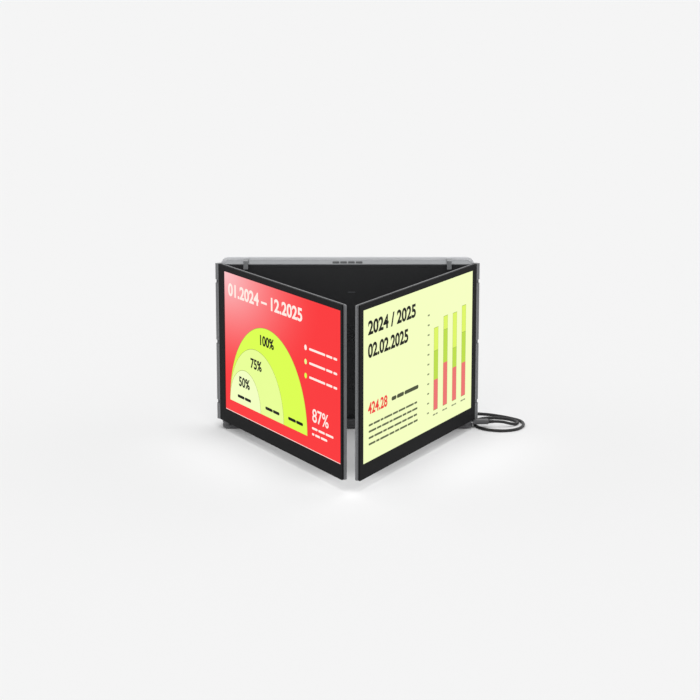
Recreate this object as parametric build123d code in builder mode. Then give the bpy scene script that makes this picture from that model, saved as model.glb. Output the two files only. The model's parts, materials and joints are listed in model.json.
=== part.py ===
"""Laptop screen extender: two hinged screens on a centre unit with a dock base and a USB-C cable.

Frame: +X right, +Y to the back, +Z up, millimetres. The origin is the middle of the rubber strip
under the dock base, on the table. The screens are drawn part folded, with their free ends close
together in front of the centre unit, and they open outward from there.
"""

import os
from math import atan2, cos, degrees, pi, radians, sin, tan

from build123d import *

os.makedirs("parts", exist_ok=True)

# ---------------------------------------------------------------- sizes of the two screens
active_width = 309.4
active_height = 174.0
bezel_top = 6.8
bezel_bottom = 17.2
free_bezel = {"left": 4.2, "right": 9.0}
hinge_bezel = {"left": 23.2, "right": 18.4}
screen_thickness = 6.0
screen_corner = 2.0
rest_angle = {"left": 62.1, "right": 63.7}
front_frame_thickness = 2.0
shell_floor = 0.8
shell_wall = 1.4
seam_inset = 0.5
seam_height = 1.6
module_thickness = 1.6
module_overlap = 2.0
module_side_lap = 0.7
glass_recess = 0.25
screen_bevel = 0.35
pocket_run_out = 2.0
chin_post_radius = 2.2
chin_screw_shares = (0.10, 0.33, 0.67, 0.90)
rail_screw_shares = (0.11, 0.37, 0.63, 0.89)
rib_shares = (0.28, 0.72)
rib_span_share = 0.9
rib_width = 3.0
driver_length = 96.0
driver_width = 9.4
driver_thickness = 0.8
driver_chip_shares = (-0.28, 0.0)
driver_chip_share = 0.6
chip_thickness = 0.9
screw_radius = 0.8
screw_head_radius = 1.5
screw_head_height = 0.38
screw_sink = 0.45
chin_screw_hole = 1.1
chin_screw_bite = 0.5
rail_screw_tip = 0.6

# ---------------------------------------------------------------- clearances that many pieces share
running_gap = 0.05
seat_gap = 0.1
piece_gap = 0.15
screw_gap = 0.2
loose_gap = 0.3
screw_tip_gap = 0.4

# ---------------------------------------------------------------- sizes of the hinges
pin_radius = 1.25
barrel_radius = 4.0
rail_corner = 3.0
arm_ring_radius = 2.9
arm_height = 3.6
arm_width = 2.8
arm_pitch = 76.5
arm_count = 3
knuckle_gap = 0.5
notch_depth = 5.0
rail_width = 6.0
tongue_length = 7.0
tongue_root = 1.0
tongue_end_gap = 1.0
notch_over = 1.0
pin_end_gap = 1.0
pin_bevel = 0.3
arm_plate_width = 13.0
arm_plate_height = 17.0
arm_screw_pitch = 9.0
arm_screw_radius = 1.0
arm_screw_head = 1.9
arm_screw_sink = 0.9
arm_screw_gap = 0.25
arm_screw_bite = 2.8

# ---------------------------------------------------------------- sizes of the dock base
base_length = 315.0
base_depth = 42.0
base_corner = 9.0
base_edge = 1.2
base_top_edge = 1.0
base_wall = 1.8
pad_height = 1.0
lower_height = 3.6
groove_height = 0.4
groove_depth = 0.8
upper_height = 6.2
strip_length = 280.0
strip_width = 14.0
strip_corner = 3.0
ballast_thickness = 2.0
ballast_side_gap = 0.4
board_thickness = 1.0
board_side_gap = 0.6
board_post_inset = 22.0
board_post_row = 7.0
large_chip = 14.0
large_chip_pitch = 60.0
large_chip_y = -2.0
small_chip = (18.0, 9.0)
small_chip_x = 95.0
board_chip_height = 1.4
post_radius = 2.4
screw_land = 6.0
shell_screw_inset = 22.05
shell_screw_inner = 45.0
shell_screw_radius = 1.2
shell_screw_head = 2.0
shell_screw_sink = 0.9
frame_screw_radius = 1.5
frame_screw_head = 2.6
frame_screw_head_height = 1.2
frame_screw_grip = 5.5
frame_screw_pitch = 80.0
frame_screw_count = 4
foot_spread = 30.0
foot_pivot_ahead = 7.0
foot_reach = 101.0
foot_width = 12.0
foot_bevel = 0.6
foot_pin_radius = 2.5
foot_pad_inset = 1.5
rivet_flange = 1.4
rivet_sink = 0.2
rivet_head_height = 0.9
rivet_top_height = 0.8
lug_thickness = 3.4
lug_root = 1.0
lock_slot_inset = 10.0
lock_slot_width = 4.6
lock_slot_height = 1.8

# ---------------------------------------------------------------- sizes of the centre unit
frame_inset = 3.0
frame_depth = 12.0
base_ledge = 9.0
side_gap = 6.0
axis_setback = 3.0
top_margin = 3.0
slope_rise = 3.6
slope_run = 9.0
frame_rim = 4.5
frame_edge = 1.0
trim_thickness = 1.0
trim_corner = 7.0
trim_skirt = 1.5
frame_rear_wall = 3.0
cover_thickness = 1.2
cover_bevel = 0.4
cover_ledge = 4.0
lower_cover_height = 31.0
cover_groove = 3.8
housing_overhang = 3.2
housing_depth = 8.0
housing_rise = 3.0
housing_corner = 8.5
housing_edge = 1.2
housing_wall = 1.6
housing_side_land = 10.0
housing_foot_land = 8.0
housing_head_land = 12.0
post_inset = 46.0
post_end_drop = 26.0
housing_post_radius = 4.0
housing_screw_radius = 1.5
housing_screw_head = 2.8
housing_screw_sink = 1.6
housing_screw_grip = 2.4
hex_socket_radius = 1.1
hex_socket_depth = 0.8
plate_inset = 2.0
video_width = 140.0
video_height = 70.0
video_rise = 95.0
video_chips = ((0.0, 36.0, 2.4), (41.0, 22.0, 1.6))
rail_depth = 1.8
rail_thickness = 6.0
screen_lift = 0.3
vent_count = 5
vent_width = 84.0
vent_height = 2.2
vent_pitch = 4.4
vent_level = 110.0
vent_screen_side = 4.0
vent_screen_rise = 3.6
vent_screen_gap = 0.02
vent_screen_thickness = 0.5
light_width = 9.0
light_height = 1.2
light_level = 162.0
light_offset = 5.0
light_stand = 0.1
light_flange = 1.5
light_flange_thickness = 0.8

# ---------------------------------------------------------------- sizes of the lid hooks and keys
hook_inset = 28.3
hook_width = 5.6
hook_thickness = 1.2
lid_gap = 5.6
lip_length = 10.8
hook_corner = 0.6
hook_bend = 0.96
stem_length = 64.0
stem_room = 4.0
hook_clearance = 0.3
key_count = 4
key_width = 8.0
key_pitch = 9.7
key_depth = 4.2
key_stand = 0.5
key_wall = 1.6
key_share = 0.40
key_corner = 0.65
key_edge = 0.3
key_flange = 1.2
key_flange_lap = 0.5
key_travel = 0.8
key_room_margin = 2.0
key_board_thickness = 0.8
dome_radius = 1.8
dome_height = 0.5
switch_gap = 0.1

# ---------------------------------------------------------------- sizes of the cable
cable_radius = 1.8
plug_gap = 0.3
plug_length = 20.0
plug_width = 11.0
plug_thickness = 5.8
plug_roundness = 0.42
plug_edge = 1.2
relief_length = 6.8
relief_radius = 2.7
relief_wall = 0.3
relief_groove = 0.6
relief_groove_shares = (0.3, 0.55, 0.8)
usb_width = 8.3
usb_height = 2.5
usb_depth = 6.6
usb_wall = 0.3
plug_shell_floor = 0.4
port_wall = 0.3
port_length = 7.6
port_recess = 0.2
port_end_gap = 0.5
contact_gap = 0.6
contact_thickness = 0.7
contact_setback = 1.8
port_y = -11.5
port_level = 7.4

# ---------------------------------------------------------------- places worked out from the sizes
screen_height = bezel_bottom + active_height + bezel_top
half_screen = screen_thickness / 2
base_split = pad_height + lower_height
upper_bottom = base_split + groove_height
base_top = upper_bottom + upper_height
base_half = base_length / 2
centre_width = base_length - 2 * frame_inset
housing_width = centre_width + 2 * housing_overhang
frame_front = -base_depth / 2 + base_ledge
frame_rear = frame_front + frame_depth
frame_half = centre_width / 2
frame_top = base_top + screen_height + top_margin
housing_top = frame_top + housing_rise
axis_x = frame_half + side_gap
axis_y = frame_front + axis_setback
screen_bottom = base_top + screen_lift
screen_middle = screen_bottom + screen_height / 2
arm_levels = [screen_middle + (i - (arm_count - 1) / 2) * arm_pitch for i in range(arm_count)]
frame_back = half_screen - front_frame_thickness
pocket_floor = -half_screen + shell_floor
module_back = frame_back - seat_gap - module_thickness


def box_between(x_span, y_span, z_span, mode=Mode.ADD):
    """Add or cut a box given by its lowest and highest coordinate on each axis."""
    spans = (x_span, y_span, z_span)
    with Locations(tuple((low + high) / 2 for low, high in spans)):
        Box(*[high - low for low, high in spans], mode=mode)


def save(part, name):
    """Label one finished piece and write it as its own STEP file."""
    part.label = name
    export_step(part, f"parts/{name}.step")


# ================================================================ dock base
# The lower shell is a shallow tray. Its lower outer edge is rounded, and four posts carry the board.
board_half = base_half - base_wall - board_side_gap
board_front = -base_depth / 2 + base_wall + board_side_gap
board_rear = base_depth / 2 - base_wall - screw_land
board_bottom = base_split + seat_gap
ballast_room = ballast_thickness + 2 * seat_gap
post_x_spots = (-board_half + board_post_inset, board_half - board_post_inset)
post_spots = [(x, y) for x in post_x_spots for y in (-board_post_row, board_post_row)]
shell_screw_y = (board_rear + base_depth / 2 - base_wall) / 2
shell_screw_outer = base_half - shell_screw_inset
shell_screw_rows = (-shell_screw_outer, -shell_screw_inner, shell_screw_inner, shell_screw_outer)
shell_screw_spots = [(x, shell_screw_y) for x in shell_screw_rows]
frame_screw_y = (frame_front + frame_rear) / 2
frame_screw_rows = [
    (i - (frame_screw_count - 1) / 2) * frame_screw_pitch for i in range(frame_screw_count)
]
frame_screw_spots = [(x, frame_screw_y) for x in frame_screw_rows]

with BuildPart() as base_lower:
    with BuildSketch(Plane.XY.offset(pad_height)):
        RectangleRounded(base_length, base_depth, base_corner)
    extrude(amount=lower_height)
    fillet(base_lower.faces().sort_by(Axis.Z)[0].edges(), base_edge)
    with BuildSketch(Plane.XY.offset(base_split)):
        RectangleRounded(base_length - 2 * base_wall, base_depth - 2 * base_wall, base_corner - base_wall)
    extrude(amount=-ballast_room, mode=Mode.SUBTRACT)
    with BuildSketch(Plane.XY.offset(base_split - ballast_room)):
        with Locations(*post_spots):
            Circle(post_radius)
    extrude(amount=board_bottom - base_split + ballast_room)
    with BuildSketch(Plane.XY.offset(base_split - ballast_room)):
        with Locations(*shell_screw_spots):
            Circle(post_radius)
    extrude(amount=ballast_room)
    with BuildSketch(Plane.XY.offset(pad_height)):
        with Locations(*shell_screw_spots):
            Circle(shell_screw_radius + screw_gap)
    extrude(amount=lower_height, mode=Mode.SUBTRACT)
    with BuildSketch(Plane.XY.offset(pad_height)):
        with Locations(*shell_screw_spots):
            Circle(shell_screw_head + screw_gap)
    extrude(amount=shell_screw_sink, mode=Mode.SUBTRACT)
save(base_lower.part, "base_lower_shell")

# The ballast is a steel plate that keeps the stand from tipping; it has a hole for each post.
ballast_half = base_half - base_wall - base_corner
with BuildPart() as ballast:
    with BuildSketch(Plane.XY.offset(base_split - ballast_thickness - seat_gap)):
        Rectangle(2 * ballast_half, base_depth - 2 * base_wall - 2 * ballast_side_gap)
        with Locations(*post_spots, *shell_screw_spots):
            Circle(post_radius + loose_gap, mode=Mode.SUBTRACT)
    extrude(amount=ballast_thickness)
save(ballast.part, "base_ballast")

# The upper shell is a deep lid with a shadow groove above the split, lugs for the two front feet,
# an opening for each USB-C port and a lock slot near the left end of the front wall.
pivot_y = -base_depth / 2 - foot_pivot_ahead
foot_top = base_split
lug_bottom = upper_bottom
lug_top = lug_bottom + lug_thickness
port_width = usb_width + 2 * (running_gap + port_wall)
port_height = usb_height + 2 * (running_gap + port_wall)
lock_slot_plane = Plane(
    origin=(-base_half + lock_slot_inset, -base_depth / 2, port_level - lock_slot_height / 2),
    x_dir=(1, 0, 0),
    z_dir=(0, -1, 0),
)
with BuildPart() as base_upper:
    with BuildSketch(Plane.XY.offset(upper_bottom)):
        RectangleRounded(base_length, base_depth, base_corner)
    extrude(amount=upper_height)
    fillet(base_upper.faces().sort_by(Axis.Z)[-1].edges(), base_top_edge)
    with BuildSketch(Plane.XY.offset(base_split)):
        RectangleRounded(
            base_length - 2 * groove_depth, base_depth - 2 * groove_depth, base_corner - groove_depth
        )
    extrude(amount=groove_height)
    with BuildSketch(Plane.XY.offset(lug_bottom)):
        for side in (-1, 1):
            with Locations((side * foot_spread, pivot_y + (foot_pivot_ahead + lug_root) / 2)):
                Rectangle(foot_width, foot_pivot_ahead + lug_root)
            with Locations((side * foot_spread, pivot_y)):
                Circle(foot_width / 2)
    extrude(amount=lug_thickness)
    with BuildSketch(Plane.XY.offset(base_split)):
        RectangleRounded(base_length - 2 * base_wall, base_depth - 2 * base_wall, base_corner - base_wall)
    extrude(amount=groove_height + upper_height - base_wall, mode=Mode.SUBTRACT)
    with BuildSketch(Plane.XY.offset(lug_bottom)):
        with Locations(*[(side * foot_spread, pivot_y) for side in (-1, 1)]):
            Circle(foot_pin_radius + running_gap)
    extrude(amount=lug_thickness, mode=Mode.SUBTRACT)
    with BuildSketch(Plane.XY.offset(base_split)):
        with Locations(*shell_screw_spots):
            Circle(post_radius)
    extrude(amount=base_top - base_wall - base_split)
    with BuildSketch(Plane.XY.offset(base_split)):
        with Locations(*shell_screw_spots):
            Circle(shell_screw_radius + running_gap)
    extrude(amount=base_top - base_wall - base_split - screw_tip_gap, mode=Mode.SUBTRACT)
    with BuildSketch(Plane.XY.offset(base_top)):
        with Locations(*frame_screw_spots):
            Circle(frame_screw_radius + screw_gap)
    extrude(amount=-base_wall, mode=Mode.SUBTRACT)
    for side in (-1, 1):
        port_place = (side * base_half, port_y, port_level)
        with BuildSketch(Plane(origin=port_place, x_dir=(0, 1, 0), z_dir=(1, 0, 0))):
            SlotOverall(port_width + 2 * loose_gap, port_height + 2 * loose_gap)
        extrude(amount=port_length + port_end_gap, both=True, mode=Mode.SUBTRACT)
    with BuildSketch(lock_slot_plane):
        SlotOverall(lock_slot_width, lock_slot_height)
    extrude(amount=-base_wall, mode=Mode.SUBTRACT)
save(base_upper.part, "base_upper_shell")

# Four screws close the base from below, and four more hold the centre frame from inside the base.
with BuildPart() as shell_screws:
    with BuildSketch(Plane.XY.offset(pad_height + seat_gap)):
        with Locations(*shell_screw_spots):
            Circle(shell_screw_head)
    extrude(amount=shell_screw_sink - seat_gap)
    with BuildSketch(Plane.XY.offset(pad_height + shell_screw_sink)):
        with Locations(*shell_screw_spots):
            Circle(shell_screw_radius)
    extrude(amount=base_top - base_wall - 2 * screw_tip_gap - pad_height - shell_screw_sink)
save(shell_screws.part, "base_shell_screws")

with BuildPart() as frame_screws:
    with BuildSketch(Plane.XY.offset(base_top - base_wall)):
        with Locations(*frame_screw_spots):
            Circle(frame_screw_head)
    extrude(amount=-frame_screw_head_height)
    with BuildSketch(Plane.XY.offset(base_top - base_wall)):
        with Locations(*frame_screw_spots):
            Circle(frame_screw_radius)
    extrude(amount=base_wall + frame_screw_grip)
save(frame_screws.part, "frame_screws")

# One rubber strip under the base is what it stands on.
with BuildPart() as rest_strip:
    with BuildSketch(Plane.XY):
        RectangleRounded(strip_length, strip_width, strip_corner)
    extrude(amount=pad_height)
save(rest_strip.part, "base_rubber_strip")

# The main board lies on the posts of the lower shell, with its chips on top.
with BuildPart() as main_board:
    with BuildSketch(Plane.XY.offset(board_bottom)):
        with Locations((0, (board_front + board_rear) / 2)):
            RectangleRounded(2 * board_half, board_rear - board_front, base_corner - base_wall)
    extrude(amount=board_thickness)
    with BuildSketch(Plane.XY.offset(board_bottom + board_thickness)):
        with Locations(*[(i * large_chip_pitch, large_chip_y) for i in (-1, 0, 1)]):
            Rectangle(large_chip, large_chip)
        with Locations((-small_chip_x, 0), (small_chip_x, 0)):
            Rectangle(*small_chip)
    extrude(amount=board_chip_height)
save(main_board.part, "dock_board")

# Each USB-C port is a drawn steel shell with a contact tongue, open outward.
for side, name in ((-1, "left"), (1, "right")):
    mouth_place = (side * (base_half - port_recess), port_y, port_level)
    mouth = Plane(origin=mouth_place, x_dir=(0, side, 0), z_dir=(side, 0, 0))
    with BuildPart() as port:
        with BuildSketch(mouth):
            SlotOverall(port_width, port_height)
        extrude(amount=-port_length)
        with BuildSketch(mouth):
            SlotOverall(usb_width + 2 * running_gap, usb_height + 2 * running_gap)
        extrude(amount=-(port_length - port_wall), mode=Mode.SUBTRACT)
        with BuildSketch(mouth.offset(-port_length + port_wall)):
            Rectangle(usb_width - 2 * (usb_wall + contact_gap), contact_thickness)
        extrude(amount=port_length - port_wall - contact_setback)
    save(port.part, f"usb_port_{name}")

# Two flat feet swing out in front of the base on riveted pins, or lie along it for carrying.
for side, name in ((-1, "left"), (1, "right")):
    pivot = (side * foot_spread, pivot_y)
    with BuildPart() as foot:
        with BuildSketch(Plane.XY.offset(pad_height)):
            with Locations((pivot[0], pivot_y - foot_reach / 2)):
                SlotOverall(foot_reach + foot_width, foot_width, rotation=90)
        extrude(amount=foot_top - pad_height)
        chamfer(foot.faces().sort_by(Axis.Z)[-1].edges(), foot_bevel)
        with Locations((pivot[0], pivot_y, foot_top)):
            Hole(foot_pin_radius + running_gap)
        with BuildSketch(Plane.XY.offset(pad_height)):
            with Locations(pivot):
                Circle(foot_pin_radius + rivet_flange + loose_gap)
        extrude(amount=rivet_sink + rivet_head_height + seat_gap, mode=Mode.SUBTRACT)
    save(foot.part, f"swing_foot_{name}")

    with BuildPart() as foot_pad:
        with BuildSketch(Plane.XY):
            with Locations((pivot[0], pivot_y - foot_reach)):
                Circle(foot_width / 2 - foot_pad_inset)
        extrude(amount=pad_height)
    save(foot_pad.part, f"swing_foot_pad_{name}")

rivet_bottom = pad_height + rivet_sink
with BuildPart() as foot_pins:
    for side in (-1, 1):
        with BuildSketch(Plane.XY.offset(rivet_bottom)):
            with Locations((side * foot_spread, pivot_y)):
                Circle(foot_pin_radius + rivet_flange)
        extrude(amount=rivet_head_height)
        with BuildSketch(Plane.XY.offset(rivet_bottom + rivet_head_height)):
            with Locations((side * foot_spread, pivot_y)):
                Circle(foot_pin_radius)
        extrude(amount=lug_top - rivet_bottom - rivet_head_height)
        with BuildSketch(Plane.XY.offset(lug_top)):
            with Locations((side * foot_spread, pivot_y)):
                Circle(foot_pin_radius + rivet_flange)
        extrude(amount=rivet_top_height)
save(foot_pins.part, "swing_foot_rivets")

# ================================================================ centre unit
# The frame carries the covers in front, the hinge arms at its sides and the keys in its sloping top.
cover_seat = frame_front + cover_thickness
cavity_rear = frame_rear - frame_rear_wall
cover_half = frame_half - frame_rim
cover_bottom = base_top + frame_rim
cover_top = frame_top - slope_rise - frame_rim
lower_cover_top = cover_bottom + lower_cover_height
upper_cover_bottom = lower_cover_top + cover_groove
slope_angle = degrees(atan2(slope_rise, slope_run))
slope_normal = (0, -sin(radians(slope_angle)), cos(radians(slope_angle)))
key_origin = (
    0,
    frame_front + slope_run * key_share,
    frame_top - slope_rise + slope_rise * key_share,
)
key_plane = Plane(origin=key_origin, x_dir=(1, 0, 0), z_dir=slope_normal)
key_spots = [((i - (key_count - 1) / 2) * key_pitch, 0) for i in range(key_count)]
key_room_width = key_count * key_pitch + key_room_margin
key_room_depth = key_depth + key_room_margin
key_opening = (key_width + 2 * piece_gap, key_depth + 2 * piece_gap, key_corner + piece_gap)
key_foot = key_wall + key_flange
key_board_drop = key_foot + key_travel + switch_gap + dome_height
key_room_floor = key_board_drop + key_board_thickness
plate_left = frame_half - frame_rim - plate_inset - arm_plate_width
plate_front = axis_y - arm_width / 2
plate_rear = cavity_rear - piece_gap
screw_levels = [level + step * arm_screw_pitch for level in arm_levels for step in (-0.5, 0.5)]
plate_screw_x = plate_left + arm_plate_width / 2
post_x = housing_width / 2 - post_inset
post_levels = [base_top + post_end_drop, base_top + screen_height / 2, frame_top - post_end_drop]
housing_posts = [(side * post_x, level) for side in (-1, 1) for level in post_levels]
channel_depth = hook_thickness + 2 * hook_clearance
channel_half = hook_width / 2 + hook_clearance
channel_bottom = frame_top - stem_length - stem_room

slope_profile = [
    (frame_front, base_top),
    (frame_rear, base_top),
    (frame_rear, frame_top),
    (frame_front + slope_run, frame_top),
    (frame_front, frame_top - slope_rise),
]
frame_profile = [(y, z if z == base_top else z - trim_thickness) for y, z in slope_profile]
shoulder_level = frame_top - trim_corner - trim_skirt
shoulder_half = frame_half - trim_thickness - piece_gap
hook_x = frame_half - hook_inset
with BuildPart() as centre_frame:
    with BuildSketch(Plane.XZ.offset(-frame_rear)):
        with Locations((0, (base_top + shoulder_level) / 2)):
            Rectangle(centre_width, shoulder_level - base_top)
        with BuildLine():
            FilletPolyline(
                (-shoulder_half, base_top),
                (-shoulder_half, frame_top - trim_thickness),
                (shoulder_half, frame_top - trim_thickness),
                (shoulder_half, base_top),
                radius=trim_corner - trim_thickness - piece_gap,
            )
            Line((shoulder_half, base_top), (-shoulder_half, base_top))
        make_face()
    extrude(amount=frame_depth)
    with BuildSketch(Plane.YZ.offset(-frame_half)):
        Polygon(*frame_profile, align=None)
    extrude(amount=centre_width, mode=Mode.INTERSECT)
    front_corners = centre_frame.edges().filter_by(Axis.Z).group_by(Axis.Y)[0]
    fillet(front_corners.sort_by(SortBy.LENGTH)[-2:], frame_edge)
    box_between(
        (-cover_half, cover_half),
        (frame_front, cover_seat),
        (cover_bottom, lower_cover_top),
        mode=Mode.SUBTRACT,
    )
    box_between(
        (-cover_half, cover_half),
        (frame_front, cover_seat),
        (upper_cover_bottom, cover_top),
        mode=Mode.SUBTRACT,
    )
    box_between(
        (-cover_half + cover_ledge, cover_half - cover_ledge),
        (cover_seat, cavity_rear),
        (cover_bottom + cover_ledge, lower_cover_top - cover_ledge),
        mode=Mode.SUBTRACT,
    )
    box_between(
        (-cover_half + cover_ledge, cover_half - cover_ledge),
        (cover_seat, cavity_rear),
        (upper_cover_bottom + cover_ledge, cover_top - cover_ledge),
        mode=Mode.SUBTRACT,
    )
    with BuildSketch(key_plane.offset(-key_wall)):
        Rectangle(key_room_width, key_room_depth)
    extrude(amount=-(key_room_floor - key_wall), mode=Mode.SUBTRACT)
    with BuildSketch(key_plane):
        with Locations(*key_spots):
            RectangleRounded(*key_opening)
    extrude(amount=-key_wall * 2, mode=Mode.SUBTRACT)
    for side in (-1, 1):
        inner = sorted((side * (plate_left - piece_gap), side * (plate_left + arm_plate_width + piece_gap)))
        outer = sorted((side * plate_left, side * axis_x))
        for level in arm_levels:
            box_between(
                inner,
                (cover_seat, cavity_rear),
                (level - arm_plate_height / 2 - piece_gap, level + arm_plate_height / 2 + piece_gap),
                mode=Mode.SUBTRACT,
            )
            box_between(
                outer,
                (plate_front - piece_gap, axis_y + arm_width / 2 + piece_gap),
                (level - arm_height / 2 - piece_gap, level + arm_height / 2 + piece_gap),
                mode=Mode.SUBTRACT,
            )
        for level in screw_levels:
            with Locations(Location((side * plate_screw_x, frame_rear, level), (-90, 0, 0))):
                CounterBoreHole(
                    arm_screw_radius + arm_screw_gap,
                    arm_screw_head + screw_gap,
                    arm_screw_sink,
                    depth=frame_rear_wall + arm_screw_radius,
                )
        box_between(
            (side * hook_x - channel_half, side * hook_x + channel_half),
            (frame_rear - channel_depth, frame_rear),
            (channel_bottom, frame_top),
            mode=Mode.SUBTRACT,
        )
    for x, level in housing_posts:
        with Locations(Location((x, frame_rear, level), (-90, 0, 0))):
            Hole(housing_screw_radius + running_gap, depth=housing_screw_grip + screw_gap)
    for x in frame_screw_rows:
        with Locations((x, frame_screw_y, base_top)):
            Cylinder(
                frame_screw_radius + running_gap,
                frame_screw_grip + loose_gap,
                align=(Align.CENTER, Align.CENTER, Align.MIN),
                mode=Mode.SUBTRACT,
            )
save(centre_frame.part, "centre_frame")

# A light alloy trim is bonded over the frame's sloping top. It turns down over both ends, and it has
# an opening for each key and a notch for each hook's stem. The core is the space inside it.
trim_inner = frame_half - trim_thickness
with BuildPart() as trim_core:
    with BuildSketch(Plane.XZ.offset(-frame_rear)):
        with BuildLine():
            FilletPolyline(
                (-trim_inner, base_top),
                (-trim_inner, frame_top - trim_thickness),
                (trim_inner, frame_top - trim_thickness),
                (trim_inner, base_top),
                radius=trim_corner - trim_thickness,
            )
            Line((trim_inner, base_top), (-trim_inner, base_top))
        make_face()
    extrude(amount=frame_depth)
    with BuildSketch(Plane.YZ.offset(-frame_half)):
        Polygon(*frame_profile, align=None)
    extrude(amount=centre_width, mode=Mode.INTERSECT)

with BuildPart() as top_trim:
    with BuildSketch(Plane.XZ.offset(-frame_rear)):
        with BuildLine():
            FilletPolyline(
                (-frame_half, shoulder_level),
                (-frame_half, frame_top),
                (frame_half, frame_top),
                (frame_half, shoulder_level),
                radius=trim_corner,
            )
            Line((frame_half, shoulder_level), (-frame_half, shoulder_level))
        make_face()
    extrude(amount=frame_depth)
    with BuildSketch(Plane.YZ.offset(-frame_half)):
        Polygon(*slope_profile, align=None)
    extrude(amount=centre_width, mode=Mode.INTERSECT)
    add(trim_core.part, mode=Mode.SUBTRACT)
    with BuildSketch(key_plane.offset(key_stand)):
        with Locations(*key_spots):
            RectangleRounded(*key_opening)
    extrude(amount=-key_foot, mode=Mode.SUBTRACT)
    for side in (-1, 1):
        box_between(
            (side * hook_x - channel_half, side * hook_x + channel_half),
            (frame_rear - channel_depth, frame_rear),
            (channel_bottom, frame_top),
            mode=Mode.SUBTRACT,
        )
save(top_trim.part, "top_trim")

# Two black covers close the front of the frame; the upper one has the vent slots and a lamp window.
with BuildPart() as upper_cover:
    box_between(
        (-cover_half + piece_gap, cover_half - piece_gap),
        (frame_front, frame_front + cover_thickness),
        (upper_cover_bottom + piece_gap, cover_top - piece_gap),
    )
    chamfer(upper_cover.faces().sort_by(Axis.Y)[0].edges(), cover_bevel)
    with BuildSketch(Plane(origin=(0, frame_front, base_top), x_dir=(1, 0, 0), z_dir=(0, -1, 0))):
        for i in range(vent_count):
            with Locations((0, vent_level + (i - (vent_count - 1) / 2) * vent_pitch)):
                SlotOverall(vent_width, vent_height)
        with Locations((light_offset, light_level)):
            SlotOverall(light_width + 2 * piece_gap, light_height + 2 * piece_gap)
    extrude(amount=-cover_thickness, mode=Mode.SUBTRACT)
save(upper_cover.part, "upper_cover")

with BuildPart() as lower_cover:
    box_between(
        (-cover_half + piece_gap, cover_half - piece_gap),
        (frame_front, frame_front + cover_thickness),
        (cover_bottom + piece_gap, lower_cover_top - piece_gap),
    )
    chamfer(lower_cover.faces().sort_by(Axis.Y)[0].edges(), cover_bevel)
save(lower_cover.part, "lower_cover")

# A perforated steel strip behind the vent slots, held against the cover.
vent_screen_half = ((vent_count - 1) * vent_pitch + vent_height) / 2 + vent_screen_rise
vent_screen_front = frame_front + cover_thickness + vent_screen_gap
with BuildPart() as vent_screen:
    box_between(
        (-vent_width / 2 - vent_screen_side, vent_width / 2 + vent_screen_side),
        (vent_screen_front, vent_screen_front + vent_screen_thickness),
        (base_top + vent_level - vent_screen_half, base_top + vent_level + vent_screen_half),
    )
save(vent_screen.part, "vent_screen")

# The status lamp is a clear bar with a flange behind the cover.
lamp_plane = Plane(
    origin=(light_offset, frame_front - light_stand, base_top + light_level),
    x_dir=(1, 0, 0),
    z_dir=(0, -1, 0),
)
lamp_depth = light_stand + cover_thickness + running_gap
with BuildPart() as status_lamp:
    with BuildSketch(lamp_plane):
        SlotOverall(light_width, light_height)
    extrude(amount=-lamp_depth)
    with BuildSketch(lamp_plane.offset(-lamp_depth)):
        Rectangle(light_width + 2 * light_flange, light_height + 2 * light_flange)
    extrude(amount=-light_flange_thickness)
save(status_lamp.part, "status_lamp")

# The light alloy rear housing has round upper corners and stands above the frame.
with BuildPart() as rear_housing:
    with BuildSketch(Plane.XZ.offset(-frame_rear)):
        with BuildLine():
            FilletPolyline(
                (-housing_width / 2, base_top),
                (-housing_width / 2, housing_top),
                (housing_width / 2, housing_top),
                (housing_width / 2, base_top),
                radius=housing_corner,
            )
            Line((housing_width / 2, base_top), (-housing_width / 2, base_top))
        make_face()
    extrude(amount=-housing_depth)
    fillet(rear_housing.faces().sort_by(Axis.Y)[-1].edges(), housing_edge)
    inner_half = housing_width / 2 - housing_side_land
    box_between(
        (-inner_half, inner_half),
        (frame_rear, frame_rear + housing_depth - housing_wall),
        (base_top + housing_foot_land, frame_top - housing_head_land),
        mode=Mode.SUBTRACT,
    )
    for x, level in housing_posts:
        with BuildSketch(Plane(origin=(x, frame_rear, level), x_dir=(1, 0, 0), z_dir=(0, 1, 0))):
            Circle(housing_post_radius)
        extrude(amount=housing_depth - housing_wall)
        with Locations(Location((x, frame_rear + housing_depth, level), (-90, 0, 0))):
            CounterBoreHole(
                housing_screw_radius + seat_gap,
                housing_screw_head + loose_gap,
                housing_screw_sink,
                depth=housing_depth,
            )
save(rear_housing.part, "rear_housing")

head_seat = frame_rear + housing_depth - housing_screw_sink
head_height = housing_screw_sink - screw_gap
with BuildPart() as housing_screws:
    for x, level in housing_posts:
        head_plane = Plane(origin=(x, head_seat, level), x_dir=(1, 0, 0), z_dir=(0, 1, 0))
        with BuildSketch(head_plane):
            Circle(housing_screw_head)
        extrude(amount=head_height)
        with BuildSketch(head_plane):
            Circle(housing_screw_radius)
        extrude(amount=frame_rear - housing_screw_grip - head_seat)
        with BuildSketch(head_plane.offset(head_height)):
            RegularPolygon(hex_socket_radius, 6)
        extrude(amount=-hex_socket_depth, mode=Mode.SUBTRACT)
save(housing_screws.part, "housing_screws")

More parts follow.
